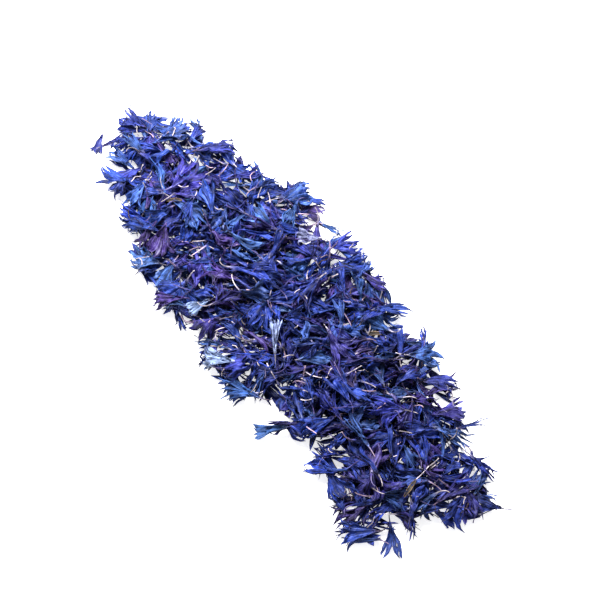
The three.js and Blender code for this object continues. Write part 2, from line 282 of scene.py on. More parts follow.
def bent(habit, points):
    """Bends the whole floret sideways along its length, and arches it."""
    length = habit["length"]
    steps = np.linspace(0, length, SPINE_STEPS)
    along = steps / length
    in_tube = np.clip(1 - along / habit["tube_share"], 0, 1)
    heading = habit["sweep"] * (along - 0.5) - habit["tube_sweep"] * in_tube**TUBE_EASE
    spine_x = np.concatenate([[0], np.cumsum(np.cos(heading[1:]) * np.diff(steps))])
    spine_y = np.concatenate([[0], np.cumsum(np.sin(heading[1:]) * np.diff(steps))])
    x = np.interp(points[:, 0], steps, spine_x)
    y = np.interp(points[:, 0], steps, spine_y)
    turn = np.interp(points[:, 0], steps, heading)
    arch = habit["arch"] * length * np.sin(math.pi * np.clip(points[:, 0] / length, 0, 1))
    x = x - points[:, 1] * np.sin(turn)
    y = y + points[:, 1] * np.cos(turn)
    return np.stack([x, y, points[:, 2] + arch], 1)


def grown(habit, fineness):
    """A floret's own points: its limb's sheet, and the middle line of its tube."""
    grid = limb_grid(habit["lobes"], fineness)
    tube = habit["length"] * habit["tube_share"]
    limb = rolled(habit, grid)
    reach = fan_of(habit, grid)[2]
    limb = crumpled(habit, limb, reach)
    limb[:, 0] += tube
    line = np.zeros((FINENESS[fineness]["tube_rings"], 3))
    line[:, 0] = np.linspace(0, tube + TUBE_OVERLAP, len(line))
    line[:, 2] = THROAT_RADIUS * np.linspace(0, 1, len(line)) ** 3
    line[:, 2] -= habit["dip"] * tube * np.linspace(1, 0, len(line)) ** TUBE_EASE
    middle = np.array([habit["length"] / 2, 0, 0])
    return bent(habit, limb) - middle, bent(habit, line) - middle


# %% [markdown]
# ## The heap's shape
#
# The CAD mat says how high the heap stands everywhere. Rays shot straight down on it give a
# grid of heights. A poured heap's rim is ragged, so bays are cut into the grid's edge, where the
# floor shows, and bulges are added to it. A second grid holds how high the florets that already
# lie there reach, and a new floret comes down wherever that is still short of the mat.

# %% The grid of heights
CELL = 0.6
MARGIN = 12
RAY_START = 0.1  # metres above the floor
low = np.array(cad_box[0]) / MM - MARGIN
high = np.array(cad_box[1]) / MM + MARGIN
grid_shape = tuple(int(math.ceil((high[axis] - low[axis]) / CELL)) for axis in (0, 1))


def heights_of(nodes):
    """The height of the CAD nodes' tops over each cell, in millimetres."""
    points, faces = [], []
    for node in nodes:
        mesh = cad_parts[node].data
        faces += [[len(points) + corner for corner in face.vertices] for face in mesh.polygons]
        points += [vertex.co for vertex in mesh.vertices]
    tree = BVHTree.FromPolygons(points, faces)
    found = np.zeros(grid_shape)
    for column in range(grid_shape[0]):
        for row in range(grid_shape[1]):
            x = (low[0] + (column + 0.5) * CELL) * MM
            y = (low[1] + (row + 0.5) * CELL) * MM
            hit = tree.ray_cast(Vector((x, y, RAY_START)), Vector((0, 0, -1)))[0]
            found[column, row] = hit.z / MM if hit else 0
    return found


def softened(field, reach):
    """The field with its steps smoothed out over about that many cells."""
    weights = np.exp(-0.5 * (np.arange(-2 * reach, 2 * reach + 1) / reach) ** 2)
    weights /= weights.sum()
    for axis in (0, 1):
        field = np.apply_along_axis(np.convolve, axis, field, weights, "same")
    return field


# The rim's bays, where no floret lies, and its bulges: x, y and radius of each, in millimetres.
BAYS = (
    (97, -15, 6), (102, -9, 5), (106, -3, 4), (98, 23, 4), (44, 37, 4), (30, 33, 2.5),
    (21, 37, 4), (7, 39, 3), (-18, 35, 3), (-52, 33, 2.5), (-60, 30, 2.5),
)
BULGES = (
    (-85, 19, 5), (-67, 26, 3), (-30, 38, 5), (35, 30, 3), (-87, -19, 4),
    (-47, -30, 3), (-28, -31, 5), (-7, -35, 4), (63, -29, 5), (74, -36, 4),
)


def near_places(places):
    """The cells that lie within the radius of any of the places."""
    column, row = np.indices(grid_shape)
    x, y = low[0] + (column + 0.5) * CELL, low[1] + (row + 0.5) * CELL
    found = np.zeros(grid_shape, bool)
    for middle_x, middle_y, radius in places:
        found |= np.hypot(x - middle_x, y - middle_y) < radius
    return found


EDGE_REACH = 3
EDGE_LEVEL = 0.25
TOP_REACH = 4
RIM_HEIGHT = 3.2
covered = (heights_of(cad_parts) > 0).astype(float)
in_heap = softened(covered, EDGE_REACH) > EDGE_LEVEL
in_heap = (in_heap | near_places(BULGES)) & ~near_places(BAYS)
mat_tops = softened(heights_of(["floret_mat"]), TOP_REACH)
target = np.where(in_heap, np.maximum(mat_tops, RIM_HEIGHT), 0)
heap = np.zeros(grid_shape)
print("The mat is up to", round(target.max(), 1), "mm high and covers",
      round(in_heap.sum() * CELL**2 / 100), "square centimetres.")

# %% [markdown]
# ## Letting a floret come down
#
# A physics engine could drop hundreds of florets, but thin crumpled sheets are slow to collide.
# Instead each floret is lowered until part of it touches. What would sink in is pushed up, and
# what stands too far off sags, as dry petals settle on what is under them. Then the grid of
# heights is raised by what now lies there.

# %% Reading and raising the heap
TOUCHING_PERCENT = 14
SINK_SHARE = 0.12
SAG_REACH = 3.8
SETTLE_GAP = 0.1
THROAT_POINTS = 12
BURIED_DEPTH = 0.8
MOST_LIFT = 1.5
HIGHEST = cad_box[1][2] / MM - 0.4


def cells_of(points):
    """The cell of the grid under each point."""
    column = np.clip(((points[:, 0] - low[0]) / CELL).astype(int), 0, grid_shape[0] - 1)
    row = np.clip(((points[:, 1] - low[1]) / CELL).astype(int), 0, grid_shape[1] - 1)
    return column, row


def settled(limb, line):
    """The points of a limb and its tube's line after the floret has come down on the heap."""
    ground = heap[cells_of(limb)]
    over = limb[:, 2] - ground
    drop = np.percentile(over, TOUCHING_PERCENT)
    over = over - drop
    over = np.where(over > 0, SAG_REACH * np.tanh(over / SAG_REACH), SINK_SHARE * over)
    limb = limb.copy()
    limb[:, 2] = np.clip(ground + over, 0, HIGHEST) + SETTLE_GAP
    line = line.copy()
    throat = limb[:THROAT_POINTS].mean(0)
    share = np.linspace(0, 1, len(line)) ** 2
    line[:, 2] += (1 - share) * -drop + share * (throat[2] - line[-1, 2])
    beneath = np.where(line[:, 2] < line[-1, 2] - BURIED_DEPTH, 0, heap[cells_of(line)])
    raised = np.maximum(line[:, 2], np.minimum(beneath, line[:, 2] + MOST_LIFT))
    lowest = np.linspace(TUBE_RADIUS, THROAT_RADIUS, len(line))
    line[:, 2] = np.clip(raised, lowest, HIGHEST)
    return limb, line


def raise_heap(points, quads):
    """Raises the heap by a floret that has come down."""
    middles = points[quads].mean(1)
    every = np.concatenate([points, middles])
    column, row = cells_of(every)
    np.maximum.at(heap, (column, row), every[:, 2] + TISSUE_THICKNESS)


def turned(points, heading, roll, pitch):
    """The points turned about their own length, tilted, and then pointed somewhere."""
    turn = Matrix.Rotation(heading, 3, "Z")
    turn = turn @ Matrix.Rotation(pitch, 3, "Y") @ Matrix.Rotation(roll, 3, "X")
    return points @ np.array(turn).T


print("No sheet's middle rises past", round(HIGHEST + SETTLE_GAP, 1), "mm.")

# %% [markdown]
# ## From sheet to solid
#
# A sheet with no thickness looks fine from afar but isn't a real thing: it has no edge and no
# inside. Each sheet is therefore doubled a little way along its normals and closed round its
# rim, and each tube is swept round its line and capped.

# %% Closing a sheet
LEAST_LENGTH = 1e-9


def unit(vectors):
    """The vectors, each made one long."""
    lengths = np.linalg.norm(vectors, axis=1, keepdims=True)
    return vectors / np.maximum(lengths, LEAST_LENGTH)


def normals_of(points, quads):
    """A unit normal at each point of a sheet."""
    corners = points[quads]
    face = np.cross(corners[:, 2] - corners[:, 0], corners[:, 3] - corners[:, 1])
    total = np.zeros_like(points)
    for corner in range(4):
        np.add.at(total, quads[:, corner], face)
    return unit(total)


def closed_sheet(points, grid):
    """Points and quads of a sheet made solid, and how many of its quads are smooth."""
    count = len(points)
    away = normals_of(points, grid.quads) * TISSUE_THICKNESS / 2
    a, b = grid.rim[:, 0], grid.rim[:, 1]
    rim = np.stack([b, a, a + count, b + count], 1)
    quads = np.concatenate([grid.quads, grid.quads[:, ::-1] + count, rim])
    return np.concatenate([points + away, points - away]), quads, 2 * len(grid.quads)


# %% Sweeping a tube
def swept_tube(line, start_radius, end_radius):
    """Points and quads of a tube round a line, closed at both ends."""
    rings = len(line)
    tangent = unit(np.gradient(line, axis=0))
    side = unit(np.cross(tangent, [0, 0, 1.0]))
    up = np.cross(side, tangent)
    share = np.linspace(0, 1, rings)
    radius = (start_radius + (end_radius - start_radius) * share**3)[:, None]
    points = []
    for corner in range(TUBE_SIDES):
        turn = 2 * math.pi * corner / TUBE_SIDES
        points.append(line + radius * (math.cos(turn) * side + math.sin(turn) * up))
    points = np.stack(points, 1).reshape(-1, 3)
    quads = []
    for ring in range(rings - 1):
        near, far = ring * TUBE_SIDES, (ring + 1) * TUBE_SIDES
        for corner in range(TUBE_SIDES):
            after = (corner + 1) % TUBE_SIDES
            quads.append((near + corner, near + after, far + after, far + corner))
    last = (rings - 1) * TUBE_SIDES
    quads += [(3, 2, 1, 0), (5, 4, 3, 0)]
    quads += [(last, last + 1, last + 2, last + 3), (last, last + 3, last + 4, last + 5)]
    return points, np.array(quads, int)


print("A sheet is", TISSUE_THICKNESS, "mm thick, and a tube has", TUBE_SIDES, "sides.")

# %% [markdown]
# ## Colours
#
# Fresh cornflowers are a clear blue. Dried, the florets range from a light blue through cobalt
# to violet, and some fade almost to white. A floret's colour also runs along it: the tube is
# pale and a little pink, and the limb darkens quickly past the throat.

# %% Floret colours, in linear light
PETAL_COLOURS = {
    "cobalt": (0.009, 0.029, 0.21),
    "light blue": (0.024, 0.065, 0.24),
    "blue violet": (0.016, 0.025, 0.20),
    "violet": (0.020, 0.016, 0.155),
    "deep blue": (0.007, 0.017, 0.15),
    "purple": (0.034, 0.018, 0.13),
    "faded": (0.20, 0.25, 0.45),
}
TUBE_COLOURS = {
    "pink": (0.36, 0.25, 0.32),
    "pale": (0.50, 0.43, 0.46),
    "lilac": (0.05, 0.035, 0.12),
    "brown": (0.05, 0.026, 0.012),
}
HEAP_MIX = {
    "cobalt": 0.44,
    "light blue": 0.20,
    "blue violet": 0.08,
    "violet": 0.16,
    "deep blue": 0.07,
    "purple": 0.05,
}
TUBE_MIX = {"pink": 0.14, "pale": 0.26, "lilac": 0.6}
TINT_SPREAD = (0.8, 1.22)
HUE_SPREAD = (0.9, 1.1)
# Painted shade takes more from red and green than from blue.
SHADE_POWERS = np.array([1.1, 1.05, 0.6])


def picked(mix):
    """One name drawn from a mix of names and shares."""
    names = list(mix)
    shares = np.array([mix[name] for name in names])
    return names[draws.choice(len(names), p=shares / shares.sum())]


def petal_tint(colour_name, shade=1.0):
    """A floret's colour, a little off the named one, with painted shade that makes it darker and
    bluer deep in the heap.
    """
    colour = np.array(PETAL_COLOURS[colour_name]) * shade**SHADE_POWERS
    return np.clip(colour * between(*TINT_SPREAD) * draws.uniform(*HUE_SPREAD, 3), 0, 1)


print(len(PETAL_COLOURS), "petal colours and", len(TUBE_COLOURS), "tube colours")

# %% [markdown]
# ## Collecting florets into pieces
#
# Several hundred separate objects would be slow and clumsy, so neighbouring florets share a
# mesh. Each keeps its own patch of the piece's UV map, and two values at each point: its tint,
# and its grain. The grain says where on the limb the point lies, and the material turns it into
# veins that run with the lobes.

# %% One piece of many florets
PATCH_EDGE = 0.02


class Piece:
    """A mesh in the making: points, quads, tints, grains and UV patches."""

    def __init__(self, name):
        self.name = name
        self.points, self.quads, self.tints, self.grains = [], [], [], []
        self.uvs, self.smooth = [], []
        self.count = 0

    def add(self, points, quads, tints, grain, uv, smooth_quads):
        """Adds one closed body. uv is for each corner of each quad, from 0 to 1 in its patch."""
        self.points.append(points)
        self.quads.append(quads + self.count)
        self.tints.append(tints)
        self.grains.append(grain)
        self.uvs.append(uv)
        smooth = np.zeros(len(quads), bool)
        smooth[:smooth_quads] = True
        self.smooth.append(smooth)
        self.count += len(points)

    def made(self):
        """The piece as a Blender object, its UV patches laid out in a square."""
        patches = len(self.uvs)
        side = math.ceil(math.sqrt(patches))
        laid = []
        for number, uv in enumerate(self.uvs):
            corner = np.array([number % side, number // side])
            laid.append((corner + PATCH_EDGE + (1 - 2 * PATCH_EDGE) * uv) / side)
        points = np.concatenate(self.points) * MM
        quads = np.concatenate(self.quads)
        mesh = bpy.data.meshes.new(self.name)
        mesh.vertices.add(len(points))
        mesh.vertices.foreach_set("co", points.ravel())
        mesh.loops.add(quads.size)
        mesh.loops.foreach_set("vertex_index", quads.ravel().astype(np.int32))
        mesh.polygons.add(len(quads))
        mesh.polygons.foreach_set("loop_start", np.arange(0, quads.size, 4, dtype=np.int32))
        mesh.polygons.foreach_set("use_smooth", np.concatenate(self.smooth))
        mesh.update(calc_edges=True)
        layer = mesh.uv_layers.new(name="OFBake")
        layer.uv.foreach_set("vector", np.concatenate(laid).ravel())
        tint = mesh.attributes.new("tint", "FLOAT_COLOR", "POINT")
        colours = np.ones((len(points), 4), np.float32)
        colours[:, :3] = np.concatenate(self.tints)
        tint.data.foreach_set("color", colours.ravel())
        grain = mesh.attributes.new("grain", "FLOAT_VECTOR", "POINT")
        grain.data.foreach_set("vector", np.concatenate(self.grains).astype(np.float32).ravel())
        mesh.validate()
        made = bpy.data.objects.new(self.name, mesh)
        bpy.context.scene.collection.objects.link(made)
        return made


# %% Adding a floret to a piece
THROAT_BLEND = 0.15
THROAT_PALENESS = 0.25
# Painted light and shade on the folds: a lobe folded one way is painted lighter, and one folded the
# other way darker.
FOLD_LIGHT_AND_SHADE = (1.2, 0.8)  # of a lobe folded one way, and of one folded the other way
LIMB_PATCH_START = 0.1
TUBE_GRAIN = 0.2
GRAIN_NUMBERS = 100


def along_tints(tint, tube_tint, reach):
    """Tints along a limb: a little of the tube's at the throat, then the petal's own."""
    share = np.clip(reach / THROAT_BLEND, 0, 1)[:, None]
    throat_tint = THROAT_PALENESS * tube_tint + (1 - THROAT_PALENESS) * tint
    return throat_tint * (1 - share) + tint * share


def add_sheet(piece, points, grid, tints, grain, flat):
    """Adds a sheet, made solid, to a piece. flat is each point's place in its UV patch."""
    points, quads, smooth = closed_sheet(points, grid)
    top = flat * [1, 0.5]
    uv = np.concatenate([top, top + [0, 0.5]])[quads]
    uv[smooth:, 2:] = uv[smooth:, 1::-1]
    tints = np.tile(tints, (2, 1))
    grain = np.tile(grain, (2, 1))
    piece.add(points, quads, tints, grain, uv.reshape(-1, 2), smooth)


def add_floret(piece, habit, fineness, limb, line, tint, tube_tint):
    """Adds a settled floret, its limb and its tube, to a piece."""
    grid = limb_grid(habit["lobes"], fineness)
    reach = fan_of(habit, grid)[2]
    # Painted light and shade from each lobe's fold.
    painted_fold_light_and_shade = np.where(habit["lobe_folds"][grid.lobe] > 0, *FOLD_LIGHT_AND_SHADE)
    tints = along_tints(tint, tube_tint, reach) * painted_fold_light_and_shade[:, None]
    number = draws.uniform(0, GRAIN_NUMBERS)
    grain = np.stack([grid.place * grid.lobes, reach, np.full(len(reach), number)], 1)
    up_patch = LIMB_PATCH_START + (1 - LIMB_PATCH_START) * reach
    flat = np.stack([0.5 + 0.5 * grid.place, up_patch], 1)
    add_sheet(piece, limb, grid, tints, grain, flat)
    points, quads = swept_tube(line, TUBE_RADIUS, THROAT_RADIUS)
    add_tube(piece, points, quads, len(line), tube_tint, tint, number)


def add_tube(piece, points, quads, rings, start_tint, end_tint, number):
    """Adds a swept tube to a piece, its colour running from its start to its end."""
    ring = np.arange(len(points)) // TUBE_SIDES / (rings - 1)
    turn = np.arange(len(points)) % TUBE_SIDES / TUBE_SIDES
    uv = np.stack([turn[quads], ring[quads]], 2)
    wraps = (uv[:, :, 0].max(1) - uv[:, :, 0].min(1)) > 0.5
    uv[wraps, :, 0] = np.where(uv[wraps, :, 0] < 0.5, uv[wraps, :, 0] + 1, uv[wraps, :, 0])
    uv[:, :, 0] *= TUBE_SIDES / (TUBE_SIDES + 1)
    share = ring[:, None] ** 3
    tints = start_tint * (1 - share) + end_tint * share
    grain = np.stack([turn, TUBE_GRAIN * ring, np.full(len(ring), number)], 1)
    piece.add(points, quads, tints, grain, uv.reshape(-1, 2), len(quads) - 4)


# %% [markdown]
# ## Filling the heap
#
# Florets come down where the heap is most short of the mat. The ones that come first end up
# hidden, so they are coarse and their tints carry painted shade, and the last ones are fine.
# The tints also carry a painted shade that deepens towards the heap's broad end. A floret
# that would hang out over the heap's edge tries another heading.

# %% Where the next floret goes
BOX_SLACK = 1.0
box_low = np.array(cad_box[0][:2]) / MM - BOX_SLACK
box_high = np.array(cad_box[1][:2]) / MM + BOX_SLACK


def next_place(short):
    """A place drawn where the heap is still short, in millimetres."""
    weights = (np.clip(short, 0, None) ** 2).ravel()
    total = weights.sum()
    if total <= 0:
        return None
    cell = np.searchsorted(np.cumsum(weights), draws.random() * total)
    column, row = divmod(min(int(cell), weights.size - 1), grid_shape[1])
    x = low[0] + (column + draws.random()) * CELL
    y = low[1] + (row + draws.random()) * CELL
    return np.array([x, y])


def share_inside(limb, line):
    """How much of a limb lies over the mat, or nothing if the floret can't lie there at all."""
    points = np.concatenate([limb, line])[:, :2]
    past_box = (points < box_low).any() or (points > box_high).any()
    rooted = in_heap[cells_of(line)].all()
    return in_heap[cells_of(limb)].mean() if rooted and not past_box else 0


print("Florets may reach", BOX_SLACK, "mm past the solids' box.")

# %% How a floret comes to lie
SPREADS = (15, 40)  # degrees
ALIGNED_SHARE = 0.4
POURED_HEADING = math.radians(48)
POURED_SPREAD = 0.45
ROLL_SPREAD = 0.5
PITCH_SPREAD = 0.22
UPSIDE_DOWN_SHARE = 0.3
HEADINGS_TRIED = 9
GOOD_SHARE = 0.9


def drawn_floret(fineness):
    """A floret of the heap: its numbers and its own points."""
    lobes = int(draws.integers(*LOBES))
    habit = drawn_habit(between(*FLORET_LENGTHS), lobes, math.radians(between(*SPREADS)))
    return habit, *grown(habit, fineness)


def drawn_heading():
    """Which way a floret points: mostly along the way that the heap was poured, else anyhow."""
    if draws.random() < ALIGNED_SHARE:
        return POURED_HEADING + draws.normal(0, POURED_SPREAD) + math.pi * (draws.random() < 0.5)
    return between(-math.pi, math.pi)


def laid_floret(fineness, place):
    """A floret laid over a place at the best of a few headings, and its share in the heap."""
    habit, limb, line = drawn_floret(fineness)
    roll = draws.normal(0, ROLL_SPREAD) + math.pi * (draws.random() < UPSIDE_DOWN_SHARE)
    pitch = draws.normal(0, PITCH_SPREAD)
    best = None
    for _ in range(HEADINGS_TRIED):
        heading = drawn_heading()
        laid = turned(limb, heading, roll, pitch)
        shift = np.array([*(place - laid[draws.integers(len(laid)), :2]), 0])
        laid = laid + shift
        laid_line = turned(line, heading, roll, pitch) + shift
        inside = share_inside(laid, laid_line)
        if best is None or inside > best[0]:
            best = (inside, laid, laid_line)
        if inside > GOOD_SHARE:
            break
    return habit, best[1], best[2], best[0]


# %% Layer after layer
STRIP = 16
# Painted shade: the hidden under and inner florets get darker tints, and all tints darken along the
# heap towards its broad end.
UNDER_SHADE = 0.12
INNER_SHADE = 0.33
BROAD_END_SHADE = 0.72
PAINTED_SHADE_RUN = (-60, 40)
TRIES_EACH = 3
LEAST_SHARE = 0.8


class Field:
    """The pieces that the mat's florets go into, by where along the heap they lie."""

    def __init__(self, kind):
        self.kind, self.pieces = kind, {}

    def at(self, x):
        """The piece for florets at that place along the heap."""
        number = int((x - low[0]) // STRIP)
        if number not in self.pieces:
            self.pieces[number] = Piece(f"{self.kind}_florets_{number + 1:02d}")
        return self.pieces[number]


def painted_shade_along(x):
    """How much painted shade darkens the florets at that place along the heap: more towards +X."""
    return np.interp(x, PAINTED_SHADE_RUN, [1, BROAD_END_SHADE])


def fill(field, fineness, stop_short, most, shade=1.0):
    """Lays florets until the heap is within stop_short of the mat, or there are enough."""
    laid = 0
    for _ in range(TRIES_EACH * most):
        place = next_place(target - stop_short - heap)
        if place is None or laid == most:
            break
        habit, limb, line, inside = laid_floret(fineness, place)
        if inside < LEAST_SHARE:
            continue
        limb, line = settled(limb, line)
        raise_heap(limb, limb_grid(habit["lobes"], fineness).quads)
        # Painted shade: the tint darkens for the floret's layer and its place along the heap, and the
        # tube's tint darkens for its layer.
        tint = petal_tint(picked(HEAP_MIX), shade * painted_shade_along(place[0]))
        tube_tint = np.array(TUBE_COLOURS[picked(TUBE_MIX)]) * shade
        add_floret(field.at(place[0]), habit, fineness, limb, line, tint, tube_tint)
        laid += 1
    print(f"{field.kind}: {laid} florets, the heap is now {heap.max():.1f} mm high")


under, inner, upper = Field("under"), Field("inner"), Field("upper")
fill(under, "coarse", stop_short=5.0, most=200, shade=UNDER_SHADE)
fill(inner, "middling", stop_short=2.2, most=200, shade=INNER_SHADE)
fill(upper, "fine", stop_short=1.2, most=350)
fill(upper, "fine", stop_short=0.4, most=240)

# %% [markdown]
# ## The florets that lie free
#
# The CAD frame holds the florets that catch the eye, on top and round the rim. Each one's
# solid says where its tube ends, where its lobes end and how broad it is, so the finely
# crumpled floret takes its place and heading from there.

# %% Reading a floret's place from its solid
ROOT_END = 0.08
NARROW_END = 0.25
BROAD_END = 0.35


def read_blade(node):
    """Root, tip and width of a CAD blade, in millimetres, found from its points."""
    points = np.array([vertex.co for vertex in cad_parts[node].data.vertices]) / MM
    middle = points.mean(0)
    axis = np.linalg.svd((points - middle)[:, :2], full_matrices=False)[2][0]
    along = (points - middle)[:, :2] @ axis
    across = (points - middle)[:, :2] @ np.array([-axis[1], axis[0]])
    length = np.ptp(along)
    first = across[along < along.min() + NARROW_END * length]
    last = across[along > along.max() - BROAD_END * length]
    widths = [np.ptp(first), np.ptp(last)]
    if widths[0] > widths[1]:
        along, widths = -along, widths[::-1]
    root = points[along < along.min() + ROOT_END * length, :2].mean(0)
    lobes = points[along > along.max() - BROAD_END * length, :2].mean(0)
    tip = root + (lobes - root) / np.linalg.norm(lobes - root) * length
    return root, tip, widths[1]


stray_width = read_blade("violet_floret_01")[2]
print("The stray floret's solid is", round(float(stray_width), 1), "mm wide.")

# %% Looks of the loose florets
LOOSE_LOOKS = {"blue": "cobalt", "violet": "violet", "faded": "faded"}
OTHER_LOOKS = {
    "light blue": ("blue", (2, 3, 5, 6, 8, 10, 11, 12, 13, 16, 18, 25, 27, 28)),
    "deep blue": ("blue", (19, 20, 21, 32)),
    "blue violet": ("violet", (1, 2, 3, 5, 6, 8)),
    "purple": ("violet", (4, 13)),
}
WHOLE_FLORETS = ("violet_floret_01", "blue_floret_27")
LOOSE_TUBE_MIX = {"pink": 0.4, "pale": 0.4, "lilac": 0.2}
WHOLE_NOTCH = 0.82
OPEN_NOTCH = (0.4, 0.66)
OPEN_ROLL = (50, 130)  # degrees
FAN_EASE = 1.4
WIDEST_SINE = 0.9
LOOSE_SWEEP = 0.4
FAR_SHARE = 0.65


def look_of(node):
    """The colour's name of a floret that has a node of its own."""
    kind, _, number = node.split("_")
    for look, (other_kind, numbers) in OTHER_LOOKS.items():
        if kind == other_kind and int(number) in numbers:
            return look
    return LOOSE_LOOKS[kind]


def between_ends(limb, line, root, tip):
    """A floret moved, turned and scaled so that its root and its farthest tip lie where told."""
    own_root = line[0, :2]
    reach = np.linalg.norm(limb[:, :2] - own_root, axis=1)
    own = limb[reach > FAR_SHARE * reach.max(), :2].mean(0) - own_root
    wanted = tip - root
    scale = np.linalg.norm(wanted) / reach.max()
    heading = math.atan2(wanted[1], wanted[0]) - math.atan2(own[1], own[0])
    turn = Matrix.Rotation(heading, 3, "Z")
    moved = []
    for points in (limb, line):
        points = (points - [*own_root, 0]) * scale @ np.array(turn).T + [*root, 0]
        points[:, :2] = np.clip(points[:, :2], box_low, box_high)
        moved.append(points)
    return moved


# %% Laying the loose florets
def loose_floret(node, colour):
    """A finely crumpled floret in the place of its solid, as a piece of its own."""
    root, tip, width = read_blade(node)
    length = float(np.linalg.norm(tip - root))
    limb_length = length * (1 - TUBE_SHARE)
    spread = math.asin(min(FAN_EASE * width / 2 / limb_length, WIDEST_SINE))
    habit = drawn_habit(length, int(draws.integers(*LOBES)), spread)
    habit["mouth_roll"] = math.radians(between(*OPEN_ROLL))
    whole = colour == "faded" or node in WHOLE_FLORETS
    habit["notch"] = WHOLE_NOTCH if whole else between(*OPEN_NOTCH)
    habit["sweep"] *= LOOSE_SWEEP
    limb, line = grown(habit, "finest")
    limb, line = settled(*between_ends(limb, line, root, tip))
    raise_heap(limb, limb_grid(habit["lobes"], "finest").quads)
    piece = Piece(f"loose_{node}")
    tube_tint = np.array(TUBE_COLOURS[picked(LOOSE_TUBE_MIX)])
    add_floret(piece, habit, "finest", limb, line, petal_tint(look_of(node)), tube_tint)
    return piece


loose = []
for node in sorted(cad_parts, key=lambda name: (name.startswith("faded"), name)):
    colour = node.split("_")[0]
    if colour in LOOSE_LOOKS:
        loose.append((loose_floret(node, colour), node, colour))
print(len(loose), "florets lie free")

# %% [markdown]
# ## Broken tubes and brown crumbs
#
# Dry tubes snap off, and their pale ends catch the light all over the heap. A few brown crumbs of
# the flower heads lie among them. Each one is a short line that wanders a little, swept round.

# %% Laying the broken tubes
BROKEN_TUBES = 85
BROKEN_LENGTHS = (2, 5.5)
BROKEN_MIX = {"pale": 0.55, "pink": 0.2, "lilac": 0.17, "brown": 0.08}
BROKEN_RINGS = 9
BROKEN_TAPER = 1.3
WANDER = 0.28
FOLLOW_SHARE = 0.6
WELL_INSIDE = 0.95


def broken_line(place, length):
    """The middle line of a short bent tube that lies on the heap."""
    turns = np.cumsum(draws.normal(0, WANDER, BROKEN_RINGS - 1)) + between(-math.pi, math.pi)
    steps = length / (BROKEN_RINGS - 1) * np.stack([np.cos(turns), np.sin(turns)], 1)
    flat = np.concatenate([[place], place + np.cumsum(steps, 0)])
    ground = heap[cells_of(flat)]
    ends = np.interp(np.arange(BROKEN_RINGS), [0, BROKEN_RINGS - 1], [ground[0], ground[-1]])
    height = np.maximum(ends, FOLLOW_SHARE * ground + (1 - FOLLOW_SHARE) * ends)
    height = np.clip(height, TUBE_RADIUS, HIGHEST - TUBE_RADIUS)
    return np.concatenate([flat, height[:, None]], 1)


broken = Piece("broken_tubes")
inner_cells = np.argwhere(softened(in_heap.astype(float), TOP_REACH) > WELL_INSIDE)
for _ in range(BROKEN_TUBES):
    column, row = inner_cells[draws.integers(len(inner_cells))]
    place = np.array([low[0] + column * CELL, low[1] + row * CELL])
    line = broken_line(place, between(*BROKEN_LENGTHS))
    points, quads = swept_tube(line, TUBE_RADIUS, BROKEN_TAPER * TUBE_RADIUS)
    tint = np.array(TUBE_COLOURS[picked(BROKEN_MIX)])
    add_tube(broken, points, quads, len(line), tint, tint, draws.uniform(0, GRAIN_NUMBERS))
print(BROKEN_TUBES, "broken tubes")

# %% [markdown]
# ## The bract scales
#
# Small papery scales wrap a cornflower's head from below. Three of them dropped into the heap.
# Each is a thin cupped leaf shape, dark in the middle with a pale golden edge.

# %% Shaping a bract scale
SCALE_ROWS = 10
SCALE_COLUMNS = 6
SCALE_CUP = 0.3
SCALE_ARCH = 0.8
SCALE_GAP = 0.5
SCALE_BLUNTNESS = 0.8
SCALE_OUTLINE = (0.06, 0.9)  # the part of half a sine wave that shapes its edge
SCALE_VEINS = 3
SCALE_EDGE = np.array([0.13, 0.075, 0.03])
SCALE_MIDDLE = np.array([0.018, 0.010, 0.006])


class Sheet:
    """A plain sheet, known as a limb's grid is: its quads and its rim."""

    def __init__(self, rows, columns):
        quads = []
        for row in range(rows):
            for column in range(columns):
                corner = row * (columns + 1) + column
                quads.append((corner, corner + columns + 1, corner + columns + 2, corner + 1))
        self.quads = np.array(quads, int)
        self.rim = rim_of(self.quads)


scale_sheet = Sheet(SCALE_ROWS, SCALE_COLUMNS)


def bract_scale(node):
    """A thin cupped scale in the place of its solid, as a piece of its own."""
    root, tip, width = read_blade(node)
    along = np.repeat(np.linspace(0, 1, SCALE_ROWS + 1), SCALE_COLUMNS + 1)
    across = np.tile(np.linspace(-1, 1, SCALE_COLUMNS + 1), SCALE_ROWS + 1)
    outline = np.sin(math.pi * (SCALE_OUTLINE[0] + SCALE_OUTLINE[1] * along))
    half_width = width / 2 * outline**SCALE_BLUNTNESS
    axis = (tip - root) / np.linalg.norm(tip - root)
    aside = np.array([-axis[1], axis[0]])
    flat = root + along[:, None] * (tip - root) + (across * half_width)[:, None] * aside
    ground = heap[cells_of(flat)].mean()
    height = ground + SCALE_GAP + SCALE_CUP * width * across**2 + SCALE_ARCH * np.sin(math.pi * along)
    points = np.concatenate([flat, np.minimum(height, HIGHEST)[:, None]], 1)
    edge = (np.abs(across) ** 4)[:, None]
    tints = SCALE_MIDDLE * (1 - edge) + SCALE_EDGE * edge
    grain = np.stack([SCALE_VEINS * across, along, np.zeros(len(along))], 1)
    piece = Piece(f"dressed_{node}")
    add_sheet(piece, points, scale_sheet, tints, grain, np.stack([0.5 + 0.5 * across, along], 1))
    return piece


bracts = sorted(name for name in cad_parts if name.startswith("bract"))
scales = [(bract_scale(node), node) for node in bracts]
print(len(scales), "bract scales")

# %% [markdown]
# ## The petal's finish
#
# Dry petal tissue is matt with a faint silky sheen. Fine veins run along each lobe, the colour
# is blotched, and creases catch the light. The veins' and blotches' tone is partly their own and
# partly painted highlight and painted shade, and the thinnest bright streaks carry a painted pale
# sheen. The tint comes from each point. One noise is stretched along the lobes for the veins, a
# second one blotches the colour, and a third one makes the fine crinkle, so no picture is needed.

